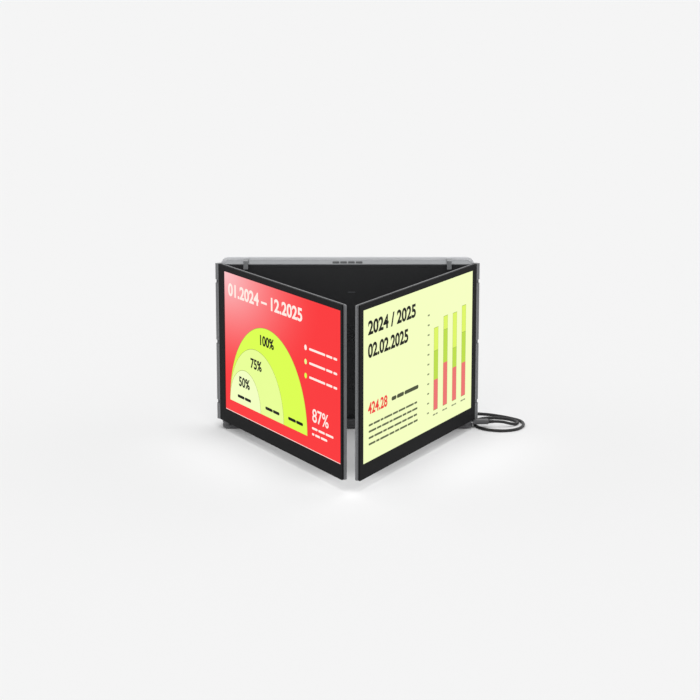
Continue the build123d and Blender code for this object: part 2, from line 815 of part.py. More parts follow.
# The display controller stands in the rear housing on two rails of the housing's wall.
video_level = base_top + video_rise
video_rear = frame_rear + housing_depth - housing_wall - rail_depth
video_front = video_rear - board_thickness
with BuildPart() as video_board:
    video_span = (video_level - video_height / 2, video_level + video_height / 2)
    box_between((-video_width / 2, video_width / 2), (video_front, video_rear), video_span)
    for x, chip_size, chip_rise in video_chips:
        box_between(
            (x - chip_size / 2, x + chip_size / 2),
            (video_front - chip_rise, video_front),
            (video_level - chip_size / 2, video_level + chip_size / 2),
        )
    for side in (-1, 1):
        rail_x = side * (video_width / 2 - rail_thickness)
        box_between(
            (rail_x - rail_thickness / 2, rail_x + rail_thickness / 2),
            (video_rear, video_rear + rail_depth),
            video_span,
        )
save(video_board.part, "video_board")

# ---------------------------------------------------------------- hinge arms and their screws
for side, name in ((-1, "left"), (1, "right")):
    with BuildPart() as arms:
        for level in arm_levels:
            with BuildSketch(Plane.XY.offset(level - arm_height / 2)):
                with Locations((side * axis_x, axis_y)):
                    Circle(arm_ring_radius)
                with Locations((side * (axis_x + plate_left) / 2, axis_y)):
                    Rectangle(axis_x - plate_left, arm_width)
            extrude(amount=arm_height)
            span = sorted((side * plate_left, side * (plate_left + arm_plate_width)))
            box_between(
                span,
                (plate_front, plate_rear),
                (level - arm_plate_height / 2, level + arm_plate_height / 2),
            )
            with BuildSketch(Plane.XY.offset(level - arm_height / 2)):
                with Locations((side * axis_x, axis_y)):
                    Circle(pin_radius + running_gap)
            extrude(amount=arm_height, mode=Mode.SUBTRACT)
        for level in screw_levels:
            with Locations(Location((side * plate_screw_x, plate_rear, level), (-90, 0, 0))):
                Hole(arm_screw_radius + running_gap, depth=arm_screw_bite + screw_tip_gap)
    save(arms.part, f"hinge_arms_{name}")

    with BuildPart() as arm_screws:
        for level in screw_levels:
            head_place = (side * plate_screw_x, frame_rear, level)
            head_plane = Plane(origin=head_place, x_dir=(1, 0, 0), z_dir=(0, 1, 0))
            with BuildSketch(head_plane):
                Circle(arm_screw_radius)
            extrude(amount=-(frame_rear_wall + piece_gap + arm_screw_bite))
            with BuildSketch(head_plane):
                Circle(arm_screw_head)
            extrude(amount=-(arm_screw_sink - seat_gap))
    save(arm_screws.part, f"hinge_arm_screws_{name}")

# ================================================================ lid hooks
strap_bottom = frame_top + hook_clearance
strap_top = strap_bottom + hook_thickness
stem_rear = frame_rear - hook_clearance
stem_front = stem_rear - hook_thickness
lip_rear = frame_front - lid_gap
lip_front = lip_rear - hook_thickness
lip_bottom = strap_top - lip_length
for side, name in ((-1, "left"), (1, "right")):
    with BuildPart() as hook:
        with BuildSketch(Plane.YZ.offset(side * hook_x)):
            with BuildLine():
                Polyline(
                    (lip_front, lip_bottom),
                    (lip_rear, lip_bottom),
                    (lip_rear, strap_bottom),
                    (stem_front, strap_bottom),
                    (stem_front, strap_bottom - stem_length),
                    (stem_rear, strap_bottom - stem_length),
                    (stem_rear, strap_top),
                    (lip_front, strap_top),
                    close=True,
                )
            make_face()
        extrude(amount=hook_width / 2, both=True)
        fillet(hook.edges().filter_by(Axis.X).group_by(Axis.Z)[-1], hook_bend)
        fillet(hook.edges().filter_by(Axis.Y).group_by(Axis.Z)[1], hook_corner)
    save(hook.part, f"lid_hook_{name}")

# ================================================================ control keys
# Four keys slide square to the sloping top and press dome switches on a narrow board.
for index, spot in enumerate(key_spots, start=1):
    with BuildPart() as key:
        with BuildSketch(key_plane.offset(key_stand)):
            with Locations(spot):
                RectangleRounded(key_width, key_depth, key_corner)
        extrude(amount=-(key_stand + key_foot))
        with BuildSketch(key_plane.offset(-key_wall - piece_gap)):
            with Locations(spot):
                Rectangle(key_width + 2 * key_flange_lap, key_depth + 2 * key_flange_lap)
        extrude(amount=-(key_flange - piece_gap))
        fillet(key.faces().sort_by(Axis(key_plane.origin, key_plane.z_dir))[-1].edges(), key_edge)
    save(key.part, f"control_key_{index}")

with BuildPart() as key_board:
    with BuildSketch(key_plane.offset(-key_board_drop)):
        Rectangle(key_room_width - 2 * piece_gap, key_room_depth - 2 * piece_gap)
    extrude(amount=-key_board_thickness)
    with BuildSketch(key_plane.offset(-key_board_drop)):
        with Locations(*key_spots):
            Circle(dome_radius)
    extrude(amount=dome_height)
save(key_board.part, "key_switch_board")

# ================================================================ the two screens
chin_line = bezel_bottom * 0.45
for side, name in ((-1, "left"), (1, "right")):
    angle = radians(rest_angle[name])
    toward_axis = (cos(angle), side * sin(angle), 0)
    outward = (side * sin(angle), -cos(angle), 0)
    screen_reach = free_bezel[name] + active_width + hinge_bezel[name]
    face = Plane(origin=(side * axis_x, axis_y, screen_bottom), x_dir=toward_axis, z_dir=outward)

    def along(distance):
        """Local x on the front plane for a distance from the hinge axis."""
        return -side * distance

    body_middle = (along((rail_width + screen_reach) / 2), screen_height / 2)
    body_width = screen_reach - rail_width
    pocket_middle = along((rail_width + screen_reach - shell_wall) / 2 - pocket_run_out)
    window_middle = (
        along(screen_reach - free_bezel[name] - active_width / 2),
        bezel_bottom + active_height / 2,
    )
    rail_screw_line = along(rail_width + tongue_length / 2)
    rail_screws = [(rail_screw_line, screen_height * share) for share in rail_screw_shares]
    chin_screws = [(along(screen_reach * share), chin_line) for share in chin_screw_shares]

    # Rear shell: a thin alloy tray with a seam groove round its edge and ribs under the display.
    with BuildPart() as rear_shell:
        with BuildSketch(face.offset(-half_screen)):
            with Locations(body_middle):
                RectangleRounded(body_width, screen_height, screen_corner)
        extrude(amount=screen_thickness - front_frame_thickness - seam_height)
        chamfer(rear_shell.faces().sort_by(Axis(face.origin, face.z_dir))[0].edges(), screen_bevel)
        with BuildSketch(face.offset(frame_back - seam_height)):
            with Locations(body_middle):
                RectangleRounded(body_width - 2 * seam_inset, screen_height - 2 * seam_inset, screen_corner)
        extrude(amount=seam_height)
        with BuildSketch(face.offset(pocket_floor)):
            with Locations((pocket_middle, screen_height / 2)):
                Rectangle(body_width - shell_wall + 2 * pocket_run_out, screen_height - 2 * shell_wall)
        extrude(amount=frame_back - pocket_floor, mode=Mode.SUBTRACT)
        with BuildSketch(face.offset(pocket_floor)):
            with Locations(*chin_screws):
                Circle(chin_post_radius)
        extrude(amount=frame_back - pocket_floor)
        with BuildSketch(face.offset(pocket_floor)):
            for share in rib_shares:
                with Locations((window_middle[0], bezel_bottom + active_height * share)):
                    Rectangle(active_width * rib_span_share, rib_width)
        extrude(amount=module_back - pocket_floor)
        with BuildSketch(face.offset(-half_screen)):
            with Locations(*rail_screws, *chin_screws):
                Circle(screw_radius + seat_gap)
        extrude(amount=screen_thickness - front_frame_thickness, mode=Mode.SUBTRACT)
        with BuildSketch(face.offset(-half_screen)):
            with Locations(*rail_screws, *chin_screws):
                Circle(screw_head_radius + seat_gap)
        extrude(amount=screw_sink, mode=Mode.SUBTRACT)
    save(rear_shell.part, f"{name}_rear_shell")

    # Front frame: the bezel round the display window.
    with BuildPart() as front_frame:
        with BuildSketch(face.offset(frame_back)):
            with Locations(body_middle):
                RectangleRounded(body_width, screen_height, screen_corner)
        extrude(amount=front_frame_thickness)
        chamfer(front_frame.faces().sort_by(Axis(face.origin, face.z_dir))[-1].edges(), screen_bevel)
        with BuildSketch(face.offset(frame_back)):
            with Locations(window_middle):
                Rectangle(active_width, active_height)
        extrude(amount=front_frame_thickness, mode=Mode.SUBTRACT)
        with BuildSketch(face.offset(frame_back)):
            with Locations(*chin_screws):
                Circle(screw_radius + seat_gap)
        extrude(amount=chin_screw_hole, mode=Mode.SUBTRACT)
    save(front_frame.part, f"{name}_front_frame")

    # Display module under the frame, and the cover glass that fills the window.
    with BuildPart() as display:
        with BuildSketch(face.offset(module_back)):
            with Locations(window_middle):
                Rectangle(active_width + 2 * module_side_lap, active_height + 2 * module_overlap)
        extrude(amount=module_thickness)
    save(display.part, f"{name}_display_module")

    with BuildPart() as glass:
        with BuildSketch(face.offset(frame_back)):
            with Locations(window_middle):
                Rectangle(active_width - 2 * piece_gap, active_height - 2 * piece_gap)
        extrude(amount=front_frame_thickness - glass_recess)
    save(glass.part, f"{name}_cover_glass")

    # Driver board in the chin, between the screw posts.
    with BuildPart() as driver:
        with BuildSketch(face.offset(pocket_floor)):
            with Locations((along(screen_reach / 2), chin_line)):
                Rectangle(driver_length, driver_width)
        extrude(amount=driver_thickness)
        with BuildSketch(face.offset(pocket_floor + driver_thickness)):
            for share in driver_chip_shares:
                with Locations((along(screen_reach / 2 + driver_length * share), chin_line)):
                    Rectangle(driver_width, driver_width * driver_chip_share)
        extrude(amount=chip_thickness)
    save(driver.part, f"{name}_driver_board")

    # Hinge rail: a bullnose extrusion with the barrel, notched for the arms, and a tongue in the shell.
    tongue_end = along(rail_width + tongue_length)
    with BuildPart() as rail:
        with BuildSketch(Plane.XY.offset(screen_bottom)):
            with Locations((side * axis_x, axis_y)):
                Circle(barrel_radius)
        extrude(amount=screen_height)
        with BuildSketch(face.offset(-half_screen)):
            with Locations((along((rail_width - piece_gap) / 2), screen_height / 2)):
                Rectangle(rail_width - piece_gap, screen_height)
        extrude(amount=screen_thickness)
        with BuildSketch(face.offset(pocket_floor + running_gap)):
            with Locations((along(rail_width + (tongue_length - tongue_root) / 2), screen_height / 2)):
                Rectangle(tongue_length + tongue_root, screen_height - 2 * (shell_wall + tongue_end_gap))
        extrude(amount=frame_back - pocket_floor - 2 * running_gap)
        with BuildSketch(face.offset(-barrel_radius)):
            with BuildLine():
                FilletPolyline(
                    (tongue_end, 0),
                    (along(-barrel_radius), 0),
                    (along(-barrel_radius), screen_height),
                    (tongue_end, screen_height),
                    radius=rail_corner,
                )
                Line((tongue_end, screen_height), (tongue_end, 0))
            make_face()
        extrude(amount=2 * barrel_radius, mode=Mode.INTERSECT)
        notch_middle = along((notch_depth - barrel_radius - notch_over) / 2)
        for level in arm_levels:
            with BuildSketch(face.offset(-barrel_radius - notch_over)):
                with Locations((notch_middle, level - screen_bottom)):
                    Rectangle(notch_depth + barrel_radius + notch_over, arm_height + 2 * knuckle_gap)
            extrude(amount=2 * (barrel_radius + notch_over), mode=Mode.SUBTRACT)
        with BuildSketch(Plane.XY.offset(screen_bottom)):
            with Locations((side * axis_x, axis_y)):
                Circle(pin_radius + running_gap)
        extrude(amount=screen_height, mode=Mode.SUBTRACT)
        with BuildSketch(face.offset(-half_screen)):
            with Locations(*rail_screws):
                Circle(screw_radius + seat_gap)
        extrude(amount=screen_thickness - front_frame_thickness, mode=Mode.SUBTRACT)
    save(rail.part, f"{name}_hinge_rail")

    with BuildPart() as pin:
        with BuildSketch(Plane.XY.offset(screen_bottom + pin_end_gap)):
            with Locations((side * axis_x, axis_y)):
                Circle(pin_radius)
        extrude(amount=screen_height - 2 * pin_end_gap)
        chamfer(pin.edges().filter_by(GeomType.CIRCLE), pin_bevel)
    save(pin.part, f"{name}_hinge_pin")

    head_bottom = -half_screen + running_gap
    head_top = head_bottom + screw_head_height
    with BuildPart() as screws:
        with BuildSketch(face.offset(head_bottom)):
            with Locations(*rail_screws, *chin_screws):
                Circle(screw_head_radius)
        extrude(amount=screw_head_height)
        with BuildSketch(face.offset(head_top)):
            with Locations(*rail_screws):
                Circle(screw_radius)
        extrude(amount=screen_thickness - front_frame_thickness - rail_screw_tip)
        with BuildSketch(face.offset(head_top)):
            with Locations(*chin_screws):
                Circle(screw_radius)
        extrude(amount=screen_thickness - front_frame_thickness + chin_screw_bite)
    save(screws.part, f"{name}_screws")

# ================================================================ USB-C cable
# The cable leaves the dock's right port, makes one loose loop on the table and runs back behind
# the stand, where the free plug lies. Its route is a list of points chosen by hand.
plug_face = base_half + plug_gap
cable_start = plug_face + plug_length + relief_length
cable_lie = cable_radius + running_gap
free_plug_level = plug_thickness / 2
cable_end = (72.0, 118.0, free_plug_level)
cable_route = [
    (cable_start, port_y, port_level),
    (cable_start + 10.5, port_y, port_level),
    (203.5, -9.8, 4.6),
    (213.0, -4.0, cable_lie),
    (217.6, 6.5, cable_lie),
    (213.6, 18.0, cable_lie),
    (203.0, 28.0, cable_lie),
    (189.0, 32.6, cable_lie),
    (174.0, 30.0, cable_lie),
    (164.0, 20.6, cable_lie),
    (161.0, 5.0, cable_lie),
    (161.8, -11.5, cable_lie),
    (168.2, -26.0, cable_lie),
    (180.2, -35.6, cable_lie),
    (196.0, -38.6, cable_lie),
    (210.8, -32.4, cable_lie),
    (220.4, -18.0, cable_lie),
    (224.2, 0.0, cable_lie),
    (221.0, 16.8, cable_lie),
    (210.2, 29.4, cable_lie),
    (196.6, 41.6, cable_lie),
    (180.0, 52.4, cable_lie),
    (158.0, 57.0, cable_lie),
    (128.0, 52.0, cable_lie),
    (94.0, 43.0, cable_lie),
    (56.0, 41.0, cable_lie),
    (18.0, 49.0, cable_lie),
    (-14.0, 68.0, cable_lie),
    (-28.0, 98.0, cable_lie),
    (-14.0, 126.0, cable_lie),
    (14.0, 132.0, cable_lie),
    (36.0, 121.0, cable_lie + 0.4),
    (cable_end[0] - 18.0, cable_end[1], free_plug_level),
    cable_end,
]


def bend_radii(points):
    """Radius of the arc at each inner point, as large as its two runs allow."""
    radii = []
    for before, here, after in zip(points, points[1:], points[2:]):
        run_in = Vector(here) - Vector(before)
        run_out = Vector(after) - Vector(here)
        turn = radians(run_in.get_angle(run_out))
        radii.append(0.45 * min(run_in.length, run_out.length) / tan(turn / 2))
    return radii


radii = bend_radii(cable_route)
print("cable bend radii:", [round(radius, 1) for radius in radii])
with BuildPart() as cable:
    with BuildLine() as cable_path:
        FilletPolyline(*cable_route, radius=radii)
    with BuildSketch(Plane(origin=cable_path.wire() @ 0, z_dir=cable_path.wire() % 0)):
        Circle(cable_radius)
    sweep(path=cable_path.wire())
cable_length = cable_path.wire().length
cable_share = cable.part.volume / (cable_length * pi * cable_radius**2)
print("cable length:", round(cable_length, 1), "volume share:", round(cable_share, 4))
save(cable.part, "usb_cable")

# Both ends carry the same plug: a drawn steel shell, a moulded body and a grooved strain relief.
plug_planes = {
    "dock": Plane(origin=(plug_face, port_y, port_level), x_dir=(0, 1, 0), z_dir=(1, 0, 0)),
    "free": Plane(
        origin=(cable_end[0] + relief_length + plug_length, cable_end[1], cable_end[2]),
        x_dir=(0, -1, 0),
        z_dir=(-1, 0, 0),
    ),
}
for name, plug_plane in plug_planes.items():
    with BuildPart() as plug_body:
        with BuildSketch(plug_plane):
            RectangleRounded(plug_width, plug_thickness, plug_thickness * plug_roundness)
        extrude(amount=plug_length)
        fillet(plug_body.faces().sort_by(Axis(plug_plane.origin, plug_plane.z_dir))[-1].edges(), plug_edge)
    save(plug_body.part, f"{name}_plug_body")

    with BuildPart() as relief:
        with BuildSketch(plug_plane.offset(plug_length)):
            Circle(relief_radius)
        with BuildSketch(plug_plane.offset(plug_length + relief_length)):
            Circle(cable_radius + relief_wall)
        loft()
        for share in relief_groove_shares:
            with BuildSketch(plug_plane.offset(plug_length + relief_length * share)):
                Circle(relief_radius + relief_wall)
                Circle(cable_radius + seat_gap, mode=Mode.SUBTRACT)
            extrude(amount=relief_groove, mode=Mode.SUBTRACT)
    save(relief.part, f"{name}_plug_relief")

    with BuildPart() as plug_shell:
        with BuildSketch(plug_plane):
            SlotOverall(usb_width, usb_height)
        extrude(amount=-usb_depth)
        with BuildSketch(plug_plane.offset(-plug_shell_floor)):
            SlotOverall(usb_width - 2 * usb_wall, usb_height - 2 * usb_wall)
        extrude(amount=-usb_depth, mode=Mode.SUBTRACT)
    save(plug_shell.part, f"{name}_plug_shell")
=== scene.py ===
"""Laptop screen extender: the looks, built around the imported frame. Metres, +Z up, +X right."""
import json
import math

import bmesh
import bpy
from mathutils import Matrix, Vector


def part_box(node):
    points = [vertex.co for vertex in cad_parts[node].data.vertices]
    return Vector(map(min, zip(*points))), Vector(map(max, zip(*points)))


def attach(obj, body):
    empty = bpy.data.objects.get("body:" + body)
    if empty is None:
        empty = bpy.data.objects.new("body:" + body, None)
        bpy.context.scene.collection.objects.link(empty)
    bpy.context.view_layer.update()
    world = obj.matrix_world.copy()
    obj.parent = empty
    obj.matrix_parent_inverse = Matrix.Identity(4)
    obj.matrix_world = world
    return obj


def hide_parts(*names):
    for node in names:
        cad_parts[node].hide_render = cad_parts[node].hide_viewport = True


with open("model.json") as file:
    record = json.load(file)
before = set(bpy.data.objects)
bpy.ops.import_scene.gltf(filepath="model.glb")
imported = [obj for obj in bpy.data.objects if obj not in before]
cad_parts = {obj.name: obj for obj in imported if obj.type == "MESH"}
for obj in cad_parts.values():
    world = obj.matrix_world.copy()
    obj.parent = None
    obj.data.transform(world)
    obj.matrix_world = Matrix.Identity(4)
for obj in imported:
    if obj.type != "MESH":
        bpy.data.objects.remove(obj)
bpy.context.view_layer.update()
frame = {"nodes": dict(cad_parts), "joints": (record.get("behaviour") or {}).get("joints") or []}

# ---------------------------------------------------------------- camera
# A long lens well in front of the stand. It stands a little above the screens and looks down, so
# that both pictures, the sloping top and the table are in view.
look_down = 11.4485
camera_data = bpy.data.cameras.new("camera")
camera_data.lens = 98.53
camera_data.sensor_width = 36.0
camera_data.clip_end = 200.0
camera = bpy.data.objects.new("camera", camera_data)
camera.location = (0.0031, -2.3662, 0.5764)
camera.rotation_euler = (math.radians(90 - look_down), 0.0, 0.0)
bpy.context.scene.collection.objects.link(camera)
bpy.context.scene.camera = camera
bpy.context.scene.view_settings.view_transform = "Standard"

# ---------------------------------------------------------------- USB-C lead
# A limp lead 3.6 mm thick with an extruded elastomer jacket. It leaves the dock's right port, makes
# one loose loop on the table and runs back behind the stand to its free plug.
cable_diameter = 0.0036
cable_rest = 0.00185
cable_route = [
    (0.1846, -0.0115, 0.0074),
    (0.1951, -0.0115, 0.0074),
    (0.2035, -0.0098, 0.0046),
    (0.2130, -0.0040, cable_rest),
    (0.2176, 0.0065, cable_rest),
    (0.2136, 0.0180, cable_rest),
    (0.2030, 0.0280, cable_rest),
    (0.1890, 0.0326, cable_rest),
    (0.1740, 0.0300, cable_rest),
    (0.1640, 0.0206, cable_rest),
    (0.1610, 0.0050, cable_rest),
    (0.1618, -0.0115, cable_rest),
    (0.1682, -0.0260, cable_rest),
    (0.1802, -0.0356, cable_rest),
    (0.1960, -0.0386, cable_rest),
    (0.2108, -0.0324, cable_rest),
    (0.2204, -0.0180, cable_rest),
    (0.2242, 0.0000, cable_rest),
    (0.2210, 0.0168, cable_rest),
    (0.2102, 0.0294, cable_rest),
    (0.1966, 0.0416, cable_rest),
    (0.1800, 0.0524, cable_rest),
    (0.1580, 0.0570, cable_rest),
    (0.1280, 0.0520, cable_rest),
    (0.0940, 0.0430, cable_rest),
    (0.0560, 0.0410, cable_rest),
    (0.0180, 0.0490, cable_rest),
    (-0.0140, 0.0680, cable_rest),
    (-0.0280, 0.0980, cable_rest),
    (-0.0140, 0.1260, cable_rest),
    (0.0140, 0.1320, cable_rest),
    (0.0360, 0.1210, cable_rest + 0.0004),
    (0.0540, 0.1180, 0.0029),
    (0.0720, 0.1180, 0.0029),
]


def cord_curve(name, points, diameter):
    """A round cord on one smooth NURBS spline through given control points."""
    curve = bpy.data.curves.new(name, "CURVE")
    curve.dimensions = "3D"
    curve.bevel_depth = diameter / 2
    curve.bevel_resolution = 5
    curve.resolution_u = 10
    curve.use_fill_caps = True
    spline = curve.splines.new("NURBS")
    spline.points.add(len(points) - 1)
    for control, point in zip(spline.points, points):
        control.co = (*point, 1.0)
    spline.order_u = 3
    spline.use_endpoint_u = True
    cord = bpy.data.objects.new(name, curve)
    bpy.context.scene.collection.objects.link(cord)
    return cord


def linear(hex_colour):
    """An sRGB hex colour as linear RGBA."""
    values = [int(hex_colour[i:i + 2], 16) / 255 for i in (1, 3, 5)]
    return (*[v / 12.92 if v <= 0.04045 else ((v + 0.055) / 1.055) ** 2.4 for v in values], 1.0)


def add(tree, kind, inputs=None, **settings):
    """Add a node, give it its settings, and set or link its inputs."""
    node = tree.nodes.new(kind)
    for name, value in settings.items():
        setattr(node, name, value)
    for socket, value in (inputs or {}).items():
        if isinstance(value, bpy.types.NodeSocket):
            tree.links.new(value, node.inputs[socket])
        else:
            node.inputs[socket].default_value = value
    return node


# A Mix node's sockets are told apart by number, because its numbers and colours share their names.
low_number, high_number, mixed_number = 2, 3, 0
low_colour, high_colour, mixed_colour = 6, 7, 2

# Elastomer jacket: extruded thermoplastic rubber, nearly smooth. It gives a soft dark sheen with a
# faint unevenness about a millimetre long.
jacket_grains_per_metre = 900.0
jacket_grain_depth = 0.00004
cable_jacket = bpy.data.materials.new("extruded_elastomer")
cable_jacket.use_nodes = True
tree = cable_jacket.node_tree
jacket = tree.nodes["Principled BSDF"]
jacket.inputs["Specular IOR Level"].default_value = 0.4
place = add(tree, "ShaderNodeTexCoord").outputs["Object"]
skin = add(tree, "ShaderNodeTexNoise",
           {"Vector": place, "Scale": jacket_grains_per_metre, "Detail": 3.0}).outputs["Fac"]
tone = add(tree, "ShaderNodeMix", {0: skin, low_colour: linear("#1A1A1B"),
                                   high_colour: linear("#242425")}, data_type="RGBA")
tree.links.new(tone.outputs[mixed_colour], jacket.inputs["Base Color"])
sheen = add(tree, "ShaderNodeMapRange", {"Value": skin, "To Min": 0.38, "To Max": 0.52})
tree.links.new(sheen.outputs["Result"], jacket.inputs["Roughness"])
dimple = add(tree, "ShaderNodeBump",
             {"Height": skin, "Distance": jacket_grain_depth, "Strength": 0.5})
tree.links.new(dimple.outputs["Normal"], jacket.inputs["Normal"])

cable = cord_curve("cable_lead", cable_route, cable_diameter)
cable.data.materials.append(cable_jacket)
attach(cable, "stand")
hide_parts("usb_cable")

# ---------------------------------------------------------------- USB-C plugs
# One plug at each end of the lead: a drawn steel shell in an overmoulded body, and a relief of the
# jacket's own elastomer where the lead goes in.
cad = frame["nodes"]


def dress(material, *names):
    """Give carried-over CAD pieces their finish."""
    for name in names:
        cad[name].data.materials.clear()
        cad[name].data.materials.append(material)


def grained(name, dark, light, grain_size, grain_depth, rough, metallic=0.0, specular=0.5,
            stretch=(1, 1, 1)):
    """A finish with a surface grain: colour, roughness and bump follow it.

    Real moulded, blasted and brushed grains are a tenth of a millimetre or finer. They are drawn
    several times coarser, so that they show. Weak wear lies over them in patches of 45 mm.
    """
    patches_per_metre = 22.0
    wear_share = {"To Min": 0.94, "To Max": 1.06}
    noise_span = {"From Min": 0.25, "From Max": 0.75}
    material = bpy.data.materials.new(name)
    material.use_nodes = True
    tree = material.node_tree
    shader = tree.nodes["Principled BSDF"]
    shader.inputs["Metallic"].default_value = metallic
    shader.inputs["Specular IOR Level"].default_value = specular
    place = add(tree, "ShaderNodeTexCoord").outputs["Object"]
    drawn = add(tree, "ShaderNodeMapping", {"Vector": place, "Scale": stretch}).outputs["Vector"]
    fine = add(tree, "ShaderNodeTexNoise",
               {"Vector": drawn, "Scale": 1 / grain_size, "Detail": 2.0}).outputs["Fac"]
    broad = add(tree, "ShaderNodeTexNoise",
                {"Vector": place, "Scale": patches_per_metre, "Detail": 3.0}).outputs["Fac"]
    wear = add(tree, "ShaderNodeMapRange", {"Value": broad, **wear_share}).outputs["Result"]
    mixed = add(tree, "ShaderNodeMath", {0: fine, 1: wear}, operation="MULTIPLY").outputs[0]
    shade = add(tree, "ShaderNodeMapRange", {"Value": mixed, **noise_span}).outputs["Result"]
    tone = add(tree, "ShaderNodeMix",
               {0: shade, low_colour: linear(dark), high_colour: linear(light)}, data_type="RGBA")
    tree.links.new(tone.outputs[mixed_colour], shader.inputs["Base Color"])
    gloss = add(tree, "ShaderNodeMapRange",
                {"Value": mixed, **noise_span, "To Min": rough[0], "To Max": rough[1]})
    tree.links.new(gloss.outputs["Result"], shader.inputs["Roughness"])
    bump = add(tree, "ShaderNodeBump", {"Height": fine, "Distance": grain_depth, "Strength": 0.7})
    tree.links.new(bump.outputs["Normal"], shader.inputs["Normal"])
    return material


# Overmoulded ABS: a satin dark grey with a soft highlight along the body.
plug_plastic = grained("satin_plug_abs", "#505052", "#5C5C5E", grain_size=0.0007,
                       grain_depth=0.00002, rough=(0.35, 0.48), specular=0.4)
dress(plug_plastic, "dock_plug_body", "free_plug_body")
dress(cable_jacket, "dock_plug_relief", "free_plug_relief")

# Drawn steel with nickel plating: bright and nearly white, lightly brushed along its length.
nickel = grained("nickel_plated_steel", "#B9BABC", "#D6D7D9", grain_size=0.0005,
                 grain_depth=0.00001, rough=(0.18, 0.3), metallic=1.0, stretch=(0.2, 1, 1))
dress(nickel, "dock_plug_shell", "free_plug_shell")

# ---------------------------------------------------------------- dock base
# Two moulded shells with a shadow line between them. Screws close them from below round a plate of
# ballast, and a rubber strip keeps the base from sliding.
# Moulded ABS with a spark-eroded texture: mid grey and dull, with a faint grain on its long edges.
dock_plastic = grained("moulded_dock_abs", "#525254", "#5E5E60", grain_size=0.0006,
                       grain_depth=0.00003, rough=(0.42, 0.56), specular=0.35)
dress(dock_plastic, "base_lower_shell", "base_upper_shell")

# Moulded rubber: nearly black, with no highlight to speak of.
rubber = grained("black_rubber", "#101011", "#1A1A1A", grain_size=0.0009,
                 grain_depth=0.00005, rough=(0.75, 0.9), specular=0.25)
dress(rubber, "base_rubber_strip")

# Zinc-plated steel plate: a pale metal with a crystalline bloom a few millimetres across.
zinc_plate = grained("zinc_plated_plate", "#8D9196", "#B4B8BC", grain_size=0.003,
                     grain_depth=0.00002, rough=(0.35, 0.55), metallic=1.0)
dress(zinc_plate, "base_ballast")

# Blackened steel: small dark heads with a thin glint.
screw_steel = grained("blackened_screw_steel", "#2A2A2C", "#3C3C3E", grain_size=0.0004,
                      grain_depth=0.00002, rough=(0.3, 0.45), metallic=1.0)
dress(screw_steel, "base_shell_screws", "frame_screws")

# ---------------------------------------------------------------- dock electronics
# A board lies between the dock's shells, with a drawn steel port at each end of it. The ports have
# the plugs' nickel plating.
# Glass-epoxy under a solder mask: deep green and fairly glossy.
solder_mask = grained("green_solder_mask", "#0E3B24", "#155233", grain_size=0.0012,
                      grain_depth=0.00002, rough=(0.25, 0.4))
dress(solder_mask, "dock_board")
dress(nickel, "usb_port_left", "usb_port_right")

# ---------------------------------------------------------------- swing-out feet
# Two flat feet of the base's ABS turn out in front, each on a steel rivet, with a rubber pad under
# its free end.
# Turned and stamped steel with a dark finish: a grey metal with fine tool marks.
hinge_steel = grained("dark_hinge_steel", "#4A4B4D", "#66676A", grain_size=0.0008,
                      grain_depth=0.00002, rough=(0.28, 0.42), metallic=1.0, stretch=(1, 1, 6))
dress(dock_plastic, "swing_foot_left", "swing_foot_right")
dress(rubber, "swing_foot_pad_left", "swing_foot_pad_right")
dress(hinge_steel, "swing_foot_rivets")

# ---------------------------------------------------------------- centre unit
# A moulded frame stands on the base. Two covers close its front, a perforated steel sheet lies
# behind the vent slots, and the video board is fixed inside.
# Moulded ABS with a fine texture: black and satin.
frame_plastic = grained("satin_black_abs", "#28282A", "#323334", grain_size=0.0007,
                        grain_depth=0.00003, rough=(0.4, 0.52), specular=0.35)
dress(frame_plastic, "centre_frame", "upper_cover", "lower_cover")
dress(hinge_steel, "vent_screen")
dress(solder_mask, "video_board")

# ---------------------------------------------------------------- status lamp
# A short bar of clear acrylic, pressed into the upper cover and lit from behind.
# Moulded acrylic: smooth, with a faint white glow that is a little cloudy.
haze_grains_per_metre = 1200.0
lamp_clear = bpy.data.materials.new("lit_lamp_acrylic")
lamp_clear.use_nodes = True
tree = lamp_clear.node_tree
lamp = tree.nodes["Principled BSDF"]
lamp.inputs["Base Color"].default_value = linear("#3C3D3F")
lamp.inputs["Roughness"].default_value = 0.25
lamp.inputs["Emission Strength"].default_value = 0.15
place = add(tree, "ShaderNodeTexCoord").outputs["Object"]
haze = add(tree, "ShaderNodeTexNoise",
           {"Vector": place, "Scale": haze_grains_per_metre, "Detail": 2.0})
glow = add(tree, "ShaderNodeMix", {0: haze.outputs["Fac"], low_colour: linear("#55575A"),
                                   high_colour: linear("#7C7E82")}, data_type="RGBA")
tree.links.new(glow.outputs[mixed_colour], lamp.inputs["Emission Color"])
dress(lamp_clear, "status_lamp")

# ---------------------------------------------------------------- rear housing and top trim
# A shallow pressed housing of aluminium closes the back of the frame, held by screws. A cap of the
# same alloy lies over the sloping top.
# Bead-blasted and silver anodised aluminium: pale and even, with hardly any reflection.
silver_anodised = grained("silver_anodised_aluminium", "#E8E9EB", "#ECEDEF", grain_size=0.0007,
                          grain_depth=0.00002, rough=(0.44, 0.48), metallic=0.3)
dress(silver_anodised, "rear_housing")
dress(screw_steel, "housing_screws")

# Aluminium brushed along its length before anodising, with streaks across the view. Its mid grey,
# darker than the housing's silver of the same alloy, is painted shade on the sloping top.
trim_with_painted_shade = grained("brushed_trim_painted_shade", "#8B8D8F", "#9D9FA1", grain_size=0.0005,
                       grain_depth=0.00002, rough=(0.34, 0.46), metallic=0.5, stretch=(0.08, 1, 1))
dress(trim_with_painted_shade, "top_trim")

